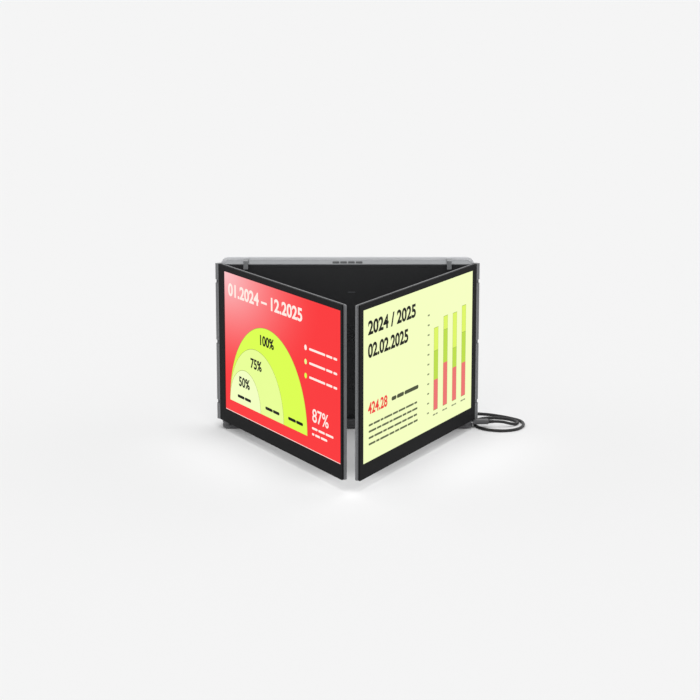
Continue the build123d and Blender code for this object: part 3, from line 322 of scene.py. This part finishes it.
# ---------------------------------------------------------------- control keys
# Four keys stand in slots of the sloping top, over dome switches on a small board.
# Polished ABS: dark grey and smooth, with a small sharp highlight.
key_plastic = grained("smooth_grey_abs", "#3A3B3C", "#464748", grain_size=0.0006,
                      grain_depth=0.00001, rough=(0.34, 0.44), specular=0.35)
dress(key_plastic, "control_key_1", "control_key_2", "control_key_3", "control_key_4")
dress(solder_mask, "key_switch_board")

# ---------------------------------------------------------------- lid hooks
# Two bent steel strips slide in the frame by friction and hook over the edge of a laptop's lid.
# Satin paint over steel: a plain mid grey with rounded highlights at the bends.
hook_paint = grained("satin_grey_paint", "#7E8082", "#909294", grain_size=0.0008,
                     grain_depth=0.00002, rough=(0.35, 0.48))
dress(hook_paint, "lid_hook_left", "lid_hook_right")

# ---------------------------------------------------------------- hinges
# Three steel arms on each side are screwed to the frame, and one long pin goes through them and the
# notched barrel of the screen's rail.
dress(hinge_steel, "hinge_arms_left", "hinge_arms_right", "left_hinge_pin", "right_hinge_pin")
dress(screw_steel, "hinge_arm_screws_left", "hinge_arm_screws_right")

# ---------------------------------------------------------------- screens
# Each screen is a shallow aluminium shell and a hinge rail, with a moulded frame round the display.
# The display module and its driver board lie inside, and small screws hold them all.
# Bead-blasted and dark anodised aluminium: a soft grey sheen on the rims.
dark_anodised = grained("dark_anodised_aluminium", "#6F7072", "#7F8082", grain_size=0.0006,
                        grain_depth=0.00002, rough=(0.34, 0.46), metallic=0.6)
# Moulded ABS: black and dull, so that it doesn't mirror the pictures.
bezel_plastic = grained("satin_bezel_abs", "#161617", "#1E1E1F", grain_size=0.0007,
                        grain_depth=0.00002, rough=(0.5, 0.62), specular=0.04)
for side in ("left", "right"):
    dress(dark_anodised, f"{side}_rear_shell", f"{side}_hinge_rail")
    dress(bezel_plastic, f"{side}_front_frame")
    dress(zinc_plate, f"{side}_display_module")
    dress(solder_mask, f"{side}_driver_board")
    dress(screw_steel, f"{side}_screws")

# ---------------------------------------------------------------- left picture
# A liquid crystal panel under a plate of toughened glass. Its light is drawn as thin inks on the
# glass: a chart of nested half discs, plain figures, and bars in the place of words.
lit_width = 0.3094
lit_height = 0.174
chin_height = 0.0172
glass_level = 0.00275
glass_depth = 0.0017
glass_gap = 0.00015
glass_edge = 0.0002
ink_step = 0.00002
line_width = 0.0005
title_size = 0.0212
screen_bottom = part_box("left_front_frame")[0].z
hinge_joints = {joint["name"]: joint for joint in frame["joints"]}
swing_angle = {"left": math.radians(62.1), "right": math.radians(63.7)}
screen_reach = 0.3368
free_end_rim = 0.0090
axis_to_left_edge = {"left": 0.0232, "right": screen_reach - free_end_rim}


def screen_place(side):
    """Matrix from the lit area (x to the viewer's right, y up, z out of the glass) to the stand."""
    axis = Vector(hinge_joints[f"{side}_screen_swing"]["pos_m"])
    sign = -1 if side == "left" else 1
    angle = swing_angle[side]
    right = Vector((math.cos(angle), sign * math.sin(angle), 0))
    out = Vector((sign * math.sin(angle), -math.cos(angle), 0))
    foot = Vector((axis.x, axis.y, screen_bottom + chin_height))
    corner = foot - sign * right * axis_to_left_edge[side]
    turn = Matrix((right, Vector((0, 0, 1)), out)).transposed().to_4x4()
    return Matrix.Translation(corner) @ turn


class Picture:
    """Flat inks on one screen's glass, gathered into one mesh with a material for each ink."""

    def __init__(self, side):
        self.side = side
        self.mesh = bmesh.new()
        self.inks = []

    def slot_of(self, ink):
        """The material slot of an ink in this picture."""
        if ink not in self.inks:
            self.inks.append(ink)
        return self.inks.index(ink)

    def shape(self, outline, ink, layer):
        """A closed thin print with this outline, anticlockwise, standing on the layers below."""
        top = [self.mesh.verts.new((x, y, glass_level + ink_step * layer)) for x, y in outline]
        under = [self.mesh.verts.new((x, y, glass_level - ink_step)) for x, y in outline]
        faces = [self.mesh.faces.new(top), self.mesh.faces.new(list(reversed(under)))]
        for i in range(len(top)):
            j = (i + 1) % len(top)
            faces.append(self.mesh.faces.new((top[j], top[i], under[i], under[j])))
        slot = self.slot_of(ink)
        for face in faces:
            face.material_index = slot

    def bar(self, x, y, width, height, ink, layer):
        """A rectangle from its lower left corner."""
        self.shape([(x, y), (x + width, y), (x + width, y + height), (x, y + height)], ink, layer)

    def words(self, x, y, widths, height, gap, ink, layer=1):
        """A row of bars with round ends, one in the place of each word."""
        steps = 8
        radius = height / 2
        for width in widths:
            outline = []
            for centre_x, start in ((x + width - radius, -90), (x + radius, 90)):
                for i in range(steps + 1):
                    turn = math.radians(start + 180 * i / steps)
                    outline.append((centre_x + radius * math.cos(turn),
                                    y + radius + radius * math.sin(turn)))
            self.shape(outline, ink, layer)
            x += width + gap

    def disc(self, x, y, radius, ink, layer=1, half=False, steps=48):
        """A disc, or its upper half standing on a base line."""
        span = math.pi if half else 2 * math.pi
        outline = []
        for i in range(steps + 1 if half else steps):
            turn = span * i / steps
            outline.append((x + radius * math.cos(turn), y + radius * math.sin(turn)))
        self.shape(outline, ink, layer)

    def figure(self, text, x, y, size, ink, layer=1, stretch=1.0, weight=0.03):
        """Plain figures, drawn from their lower left corner."""
        curve = bpy.data.curves.new("figures", "FONT")
        curve.body = text
        curve.size = size
        curve.offset = size * weight
        curve.extrude = ink_step * (layer + 1) / 2
        holder = bpy.data.objects.new("figures", curve)
        bpy.context.scene.collection.objects.link(holder)
        bpy.context.view_layer.update()
        shown = holder.evaluated_get(bpy.context.evaluated_depsgraph_get())
        flat = bpy.data.meshes.new_from_object(shown)
        bpy.data.objects.remove(holder)
        middle = glass_level + ink_step * (layer - 1) / 2
        flat.transform(Matrix.Translation((x, y, middle)) @ Matrix.Diagonal((stretch, 1, 1, 1)))
        self.take(flat, ink)

    def take(self, print_mesh, ink):
        """Take over a finished print in one ink."""
        before = len(self.mesh.faces)
        self.mesh.from_mesh(print_mesh)
        self.mesh.faces.ensure_lookup_table()
        slot = self.slot_of(ink)
        for face in self.mesh.faces[before:]:
            face.material_index = slot
        bpy.data.meshes.remove(print_mesh)

    def glass(self, ink):
        """The cover glass, a plate with eased edges that fills the window. It comes first."""
        plate = bmesh.ops.create_cube(self.mesh, size=1.0)
        size = (lit_width - 2 * glass_gap, lit_height - 2 * glass_gap, glass_depth)
        middle = (lit_width / 2, lit_height / 2, glass_level - glass_depth / 2)
        bmesh.ops.transform(self.mesh, verts=plate["verts"],
                            matrix=Matrix.Translation(middle) @ Matrix.Diagonal((*size, 1)))
        bmesh.ops.bevel(self.mesh, geom=list(self.mesh.edges), offset=glass_edge, segments=2,
                        affect="EDGES")
        slot = self.slot_of(ink)
        for face in self.mesh.faces:
            face.material_index = slot

    def place(self):
        """Make the piece, set it on its screen and let it swing with it."""
        bmesh.ops.transform(self.mesh, verts=self.mesh.verts, matrix=screen_place(self.side))
        mesh = bpy.data.meshes.new(f"{self.side}_lit_display")
        self.mesh.to_mesh(mesh)
        self.mesh.free()
        for ink in self.inks:
            mesh.materials.append(ink)
        piece = bpy.data.objects.new(f"{self.side}_lit_display", mesh)
        bpy.context.scene.collection.objects.link(piece)
        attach(piece, f"{self.side}_screen")
        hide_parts(f"{self.side}_cover_glass")
        return piece


def lit_ink(name, colour, cloud_colour=None):
    """Light from the panel through smooth glass: a plain colour, with a backlight's faint clouds.

    The glass is coated against reflection, so it mirrors little, and its gloss varies where it has
    been wiped. A cloud is about 70 mm across and a wiped streak about 25 mm. Without a second
    colour there are no clouds, and the one colour is set on the shader itself.
    """
    clouds_per_metre = 14.0
    streaks_per_metre = 40.0
    material = bpy.data.materials.new(name)
    material.use_nodes = True
    tree = material.node_tree
    shader = tree.nodes["Principled BSDF"]
    shader.inputs["Base Color"].default_value = linear("#020202")
    shader.inputs["Specular IOR Level"].default_value = 0.02
    shader.inputs["Emission Color"].default_value = linear(colour)
    shader.inputs["Emission Strength"].default_value = 1.0
    place = add(tree, "ShaderNodeTexCoord").outputs["Object"]
    if cloud_colour:
        cloud = add(tree, "ShaderNodeTexNoise",
                    {"Vector": place, "Scale": clouds_per_metre, "Detail": 2.0})
        tone = add(tree, "ShaderNodeMix",
                   {0: cloud.outputs["Fac"], low_colour: linear(colour),
                    high_colour: linear(cloud_colour)}, data_type="RGBA")
        tree.links.new(tone.outputs[mixed_colour], shader.inputs["Emission Color"])
    smear = add(tree, "ShaderNodeTexNoise",
                {"Vector": place, "Scale": streaks_per_metre, "Detail": 4.0})
    gloss = add(tree, "ShaderNodeMapRange",
                {"Value": smear.outputs["Fac"], "To Min": 0.14, "To Max": 0.24})
    tree.links.new(gloss.outputs["Result"], shader.inputs["Roughness"])
    return material


# The red field is paler towards the upper outer corner, over 0.27 m sideways and 0.14 m down.
pale_corner = screen_place("left") @ Vector((0, lit_height, 0))
pale_scale = (1 / 0.27, 1 / 0.27, 1 / 0.14)
pale_fall_off = 2.05
red_field = lit_ink("lit_red_field", "#FA3639")
tree = red_field.node_tree
shader = tree.nodes["Principled BSDF"]
place = add(tree, "ShaderNodeTexCoord").outputs["Object"]
from_corner = add(tree, "ShaderNodeVectorMath", {0: place, 1: tuple(pale_corner)},
                  operation="SUBTRACT").outputs["Vector"]
squeezed = add(tree, "ShaderNodeVectorMath", {0: from_corner, 1: pale_scale},
               operation="MULTIPLY").outputs["Vector"]
away = add(tree, "ShaderNodeVectorMath", {0: squeezed}, operation="LENGTH").outputs["Value"]
near = add(tree, "ShaderNodeMapRange",
           {"Value": away, "To Min": 1.0, "To Max": 0.0}).outputs["Result"]
fade = add(tree, "ShaderNodeMath", {0: near, 1: pale_fall_off}, operation="POWER").outputs[0]
tone = add(tree, "ShaderNodeMix", {0: fade, low_colour: linear("#FA3639"),
                                   high_colour: linear("#FBC6C9")}, data_type="RGBA")
tree.links.new(tone.outputs[mixed_colour], shader.inputs["Emission Color"])

lime_ink = lit_ink("lit_lime", "#DCFE50", "#DAFC4C")
pale_lime_ink = lit_ink("lit_pale_lime", "#E9FE98", "#E6FC94")
cream_ink = lit_ink("lit_cream", "#F3FFC3", "#F0FDBE")
line_ink = lit_ink("lit_olive_line", "#8FA24A")
white_ink = lit_ink("lit_white", "#FFF0E8", "#FFEBE2")
black_ink = lit_ink("lit_black", "#10110D", "#151611")

left_picture = Picture("left")
left_picture.glass(red_field)
left_picture.bar(x=0.0005, y=0.0004, width=0.3084, height=0.0007, ink=white_ink, layer=1)

# Three half discs stand on one line and share their left end. Each has a thin outline below it.
arch_line = 0.0148
arch_left = 0.0142
arches = ((0.1063, lime_ink), (0.0755, pale_lime_ink), (0.0440, cream_ink))
for order, (radius, ink) in enumerate(arches):
    left_picture.disc(arch_left + radius, arch_line, radius + line_width, line_ink,
                      layer=2 * order + 1, half=True)
    left_picture.disc(arch_left + radius, arch_line, radius, ink, layer=2 * order + 2, half=True)
top_layer = 2 * len(arches) + 1
for text, x, y in (("100%", 0.0990, 0.0998), ("75%", 0.0742, 0.0668), ("50%", 0.0400, 0.0378)):
    left_picture.figure(text, x, y, size=0.0166, ink=black_ink, layer=top_layer, stretch=1.13)
for x, y in ((0.0362, 0.0224), (0.1155, 0.0232), (0.1775, 0.0236)):
    left_picture.words(x, y, widths=(0.0200, 0.0175), height=0.0036, gap=0.0010, ink=black_ink,
                       layer=top_layer)

# The title, three coloured dots with their words, and one large figure over two rows of words.
left_picture.figure("01.2024 \u2013 12.2025", x=0.0112, y=0.1462, size=title_size, ink=white_ink,
                    stretch=1.29)
words_below_dot = 0.0016
for y, ink in ((0.1178, white_ink), (0.1014, pale_lime_ink), (0.0850, lime_ink)):
    left_picture.disc(x=0.2235, y=y, radius=0.0032, ink=ink, steps=20)
    left_picture.words(x=0.2325, y=y - words_below_dot, widths=(0.0400, 0.0150, 0.0090),
                       height=0.0027, gap=0.0024, ink=white_ink)
left_picture.figure("87%", x=0.2395, y=0.0348, size=0.0218, ink=white_ink, stretch=1.12,
                    weight=0.012)
for y, widths in ((0.0256, (0.0140, 0.0160, 0.0190)), (0.0186, (0.0060, 0.0120, 0.0160))):
    left_picture.words(x=0.2390, y=y, widths=widths, height=0.0026, gap=0.0020, ink=white_ink)
left_lit = left_picture.place()

# ---------------------------------------------------------------- right picture
# The same panel and glass. A pale yellow-green field holds four stacked columns beside their scale,
# plain figures, and bars in the place of words.
cream_field = lit_ink("lit_cream_field", "#F5FEC2", "#F3FDBF")
column_lime_ink = lit_ink("lit_column_lime", "#DEF664", "#DBF35E")
green_ink = lit_ink("lit_green", "#BEDF48", "#BADC42")
coral_ink = lit_ink("lit_coral", "#EE7472", "#EB706E")
red_ink = lit_ink("lit_red_figures", "#EE3F3A")
grey_ink = lit_ink("lit_dark_olive", "#4A5038")
text_ink = lit_ink("lit_text_olive", "#60684A")
soft_grey_ink = lit_ink("lit_soft_olive", "#8D9470")
right_picture = Picture("right")
right_picture.glass(cream_field)

# Each column has a thin outline below it, three colours from the foot up, and a label under it.
column_left = 0.1927
column_foot = 0.0215
column_width = 0.0118
column_pitch = 0.0281
label_overhang = 0.0018
label_line = 0.0148
column_tops = ((0.0585, 0.0934, 0.1214), (0.0742, 0.1143, 0.1309),
               (0.0628, 0.0868, 0.1302), (0.0635, 0.1014, 0.1347))
for index, (coral_top, green_top, lime_top) in enumerate(column_tops):
    x = column_left + index * column_pitch
    right_picture.bar(x - line_width, column_foot - line_width, column_width + 2 * line_width,
                      lime_top - column_foot + 2 * line_width, line_ink, layer=1)
    right_picture.bar(x, column_foot, column_width, coral_top - column_foot, coral_ink, layer=2)
    right_picture.bar(x, coral_top, column_width, green_top - coral_top, green_ink, layer=2)
    right_picture.bar(x, green_top + line_width, column_width, lime_top - green_top - line_width,
                      column_lime_ink, layer=2)
    right_picture.words(x - label_overhang, label_line, widths=(0.0075, 0.0060), height=0.0018,
                        gap=0.0010, ink=soft_grey_ink)

# The scale: equal marks with round ends, one above the other at one pitch. The ends are a hair less
# than half the height, so that no two corners of the outline meet.
scale_middle = 0.1765
scale_foot = 0.0212
end_share = 0.4999
end_steps = 4
weld = 0.000001
scale_sizes = {"Marks": 11, "Pitch": 0.01185, "Length": 0.0060, "Height": 0.0020,
               "Thickness": 2 * ink_step, "Ink": soft_grey_ink}
scale_kinds = {"Marks": "NodeSocketInt", "Ink": "NodeSocketMaterial"}
scale_marks = bpy.data.node_groups.new("scale_marks", "GeometryNodeTree")
scale_sockets = {}
for name in scale_sizes:
    kind = scale_kinds.get(name, "NodeSocketFloat")
    scale_sockets[name] = scale_marks.interface.new_socket(name, in_out="INPUT", socket_type=kind)
scale_marks.interface.new_socket("Geometry", in_out="OUTPUT", socket_type="NodeSocketGeometry")
given = add(scale_marks, "NodeGroupInput").outputs
outline = add(scale_marks, "GeometryNodeCurvePrimitiveQuadrilateral",
              {"Width": given["Length"], "Height": given["Height"]}).outputs["Curve"]
end_radius = add(scale_marks, "ShaderNodeMath", {0: given["Height"], 1: end_share},
                 operation="MULTIPLY").outputs[0]
rounded = add(scale_marks, "GeometryNodeFilletCurve",
              {"Curve": outline, "Count": end_steps, "Radius": end_radius},
              mode="POLY").outputs["Curve"]
face = add(scale_marks, "GeometryNodeFillCurve", {"Curve": rounded}, mode="NGONS").outputs["Mesh"]
raised = add(scale_marks, "GeometryNodeExtrudeMesh",
             {"Mesh": face, "Offset Scale": given["Thickness"],
              "Individual": False}).outputs["Mesh"]
under = add(scale_marks, "GeometryNodeFlipFaces", {"Mesh": face}).outputs["Mesh"]
joined = add(scale_marks, "GeometryNodeJoinGeometry")
for half_mark in (under, raised):
    scale_marks.links.new(half_mark, joined.inputs["Geometry"])
mark = add(scale_marks, "GeometryNodeMergeByDistance",
           {"Geometry": joined.outputs["Geometry"], "Distance": weld}).outputs["Geometry"]
step_up = add(scale_marks, "ShaderNodeCombineXYZ", {"Y": given["Pitch"]}).outputs["Vector"]
ladder = add(scale_marks, "GeometryNodeMeshLine",
             {"Count": given["Marks"], "Offset": step_up}).outputs["Mesh"]
marks = add(scale_marks, "GeometryNodeInstanceOnPoints",
            {"Points": ladder, "Instance": mark}).outputs["Instances"]
solid_marks = add(scale_marks, "GeometryNodeRealizeInstances",
                  {"Geometry": marks}).outputs["Geometry"]
inked = add(scale_marks, "GeometryNodeSetMaterial",
            {"Geometry": solid_marks, "Material": given["Ink"]}).outputs["Geometry"]
add(scale_marks, "NodeGroupOutput", {"Geometry": inked})
scale = bpy.data.objects.new("scale_marks", bpy.data.meshes.new("scale_marks"))
bpy.context.scene.collection.objects.link(scale)
scale_maker = scale.modifiers.new("scale_marks", "NODES")
scale_maker.node_group = scale_marks
for name, socket in scale_sockets.items():
    scale_maker[socket.identifier] = scale_sizes[name]
scale_shown = scale.evaluated_get(bpy.context.evaluated_depsgraph_get())
scale_print = bpy.data.meshes.new_from_object(scale_shown)
bpy.data.objects.remove(scale)
scale_print.transform(Matrix.Translation((scale_middle, scale_foot, glass_level - ink_step)))
right_picture.take(scale_print, soft_grey_ink)

# Two lines of title, a red figure with its words, and a paragraph of four rows.
title_left = 0.0120
bold = 0.034
for text, y, stretch in (("2024 / 2025", 0.1448, 1.25), ("02.02.2025", 0.1188, 1.14)):
    right_picture.figure(text, title_left, y, title_size, black_ink, stretch=stretch, weight=bold)
right_picture.figure("424.28", x=0.0125, y=0.0545, size=0.0178, ink=red_ink, stretch=1.04)
right_picture.words(x=0.0740, y=0.0574, widths=(0.0130, 0.0190, 0.0390), height=0.0046,
                    gap=0.0016, ink=grey_ink)
paragraph = (
    (0.011, 0.017, 0.008, 0.022, 0.014, 0.019, 0.022, 0.008),
    (0.020, 0.012, 0.018, 0.009, 0.024, 0.011, 0.013, 0.015),
    (0.013, 0.022, 0.010, 0.017, 0.020, 0.013, 0.016, 0.010),
    (0.018, 0.009, 0.023, 0.014, 0.012, 0.020, 0.015, 0.012),
)
top_row = 0.0403
row_pitch = 0.0073
for row, widths in enumerate(paragraph):
    right_picture.words(x=0.0140, y=top_row - row * row_pitch, widths=widths, height=0.0024,
                        gap=0.0014, ink=text_ink)
right_lit = right_picture.place()

# ---------------------------------------------------------------- table
# A wide board under the stand, in matt white paint that has no highlight. It lies a tenth of a
# millimetre below the pads and takes the stand's soft shadow.
half_table = 30.0
table_drop = 0.0001
floor_mesh = bpy.data.meshes.new("floor")
floor_mesh.from_pydata([(-half_table, -half_table, 0), (half_table, -half_table, 0),
                        (half_table, half_table, 0), (-half_table, half_table, 0)],
                       [], [(0, 1, 2, 3)])
floor = bpy.data.objects.new("floor", floor_mesh)
floor.location.z = -table_drop
bpy.context.scene.collection.objects.link(floor)
floor_paint = bpy.data.materials.new("pale_floor")
floor_paint.use_nodes = True
matt = floor_paint.node_tree.nodes["Principled BSDF"]
matt.inputs["Base Color"].default_value = linear("#F1F1F1")
matt.inputs["Roughness"].default_value = 0.9
matt.inputs["Specular IOR Level"].default_value = 0.0
floor_mesh.materials.append(floor_paint)

# ---------------------------------------------------------------- sky and high light
# A white sky, stronger in front than behind. Seen straight, in metal or through glass, it is even.
# One very broad light stands almost overhead, a little behind the stand.
front_strength, back_strength, seen_strength = 1.15, 0.45, 0.92
sky = bpy.data.worlds.new("sky")
sky.use_nodes = True
bpy.context.scene.world = sky
tree = sky.node_tree
sky_light = tree.nodes["Background"]
sky_light.inputs["Color"].default_value = (1.0, 1.0, 1.0, 1.0)
direction = add(tree, "ShaderNodeTexCoord").outputs["Generated"]
axes = add(tree, "ShaderNodeSeparateXYZ", {"Vector": direction})
shining = add(tree, "ShaderNodeMapRange",
              {"Value": axes.outputs["Y"], "From Min": -1.0, "From Max": 1.0,
               "To Min": front_strength, "To Max": back_strength}).outputs["Result"]
rays = add(tree, "ShaderNodeLightPath").outputs
in_metal_or_glass = add(tree, "ShaderNodeMath",
                        {0: rays["Is Glossy Ray"], 1: rays["Is Transmission Ray"]},
                        operation="MAXIMUM").outputs[0]
seen = add(tree, "ShaderNodeMath", {0: rays["Is Camera Ray"], 1: in_metal_or_glass},
           operation="MAXIMUM").outputs[0]
strength = add(tree, "ShaderNodeMix", {0: seen, low_number: shining, high_number: seen_strength})
tree.links.new(strength.outputs[mixed_number], sky_light.inputs["Strength"])

high_light = bpy.data.lights.new("high_light", "SUN")
high_light.energy = 0.75
high_light.angle = math.radians(40)
high_lamp = bpy.data.objects.new("high_light", high_light)
high_lamp.rotation_euler = (math.radians(-6), 0, 0)
bpy.context.scene.collection.objects.link(high_lamp)

# ---------------------------------------------------------------- light on the table
# The lit pictures don't tint the table. White cards throw light back on it and on nothing else: a
# small one low down where the screens' free ends meet, and a long one beside each screen.
all_but_table = bpy.data.collections.new("all_but_table")
all_but_table.objects.link(floor)
all_but_table.collection_objects[0].light_linking.link_state = "EXCLUDE"
for picture in (left_lit, right_lit):
    picture.light_linking.receiver_collection = all_but_table

table_only = bpy.data.collections.new("table_only")
table_only.objects.link(floor)
bounce = bpy.data.lights.new("front_bounce", "AREA")
bounce.shape = "RECTANGLE"
bounce.size = 0.08
bounce.size_y = 0.066
bounce.energy = 0.0125
bounce.use_shadow = False
bounce_lamp = bpy.data.objects.new("front_bounce", bounce)
bounce_lamp.location = (0.003, -0.277, 0.03)
bounce_lamp.visible_camera = False
bounce_lamp.light_linking.receiver_collection = table_only
bpy.context.scene.collection.objects.link(bounce_lamp)

card_height = 0.11
card_ahead = 0.035
card_towards_hinge = 0.02
for side, power in (("left", 0.064), ("right", 0.073)):
    card = bpy.data.lights.new(f"{side}_bounce", "AREA")
    card.shape = "RECTANGLE"
    card.size = 0.27
    card.size_y = 0.06
    card.energy = power
    sign = -1 if side == "left" else 1
    middle = screen_place(side) @ Vector((lit_width / 2 + card_towards_hinge * sign, 0, card_ahead))
    card_lamp = bpy.data.objects.new(f"{side}_bounce", card)
    card_lamp.location = (middle.x, middle.y, card_height)
    card_lamp.rotation_euler = (0, 0, sign * swing_angle[side])
    card_lamp.visible_camera = False
    card_lamp.light_linking.receiver_collection = table_only
    bpy.context.scene.collection.objects.link(card_lamp)
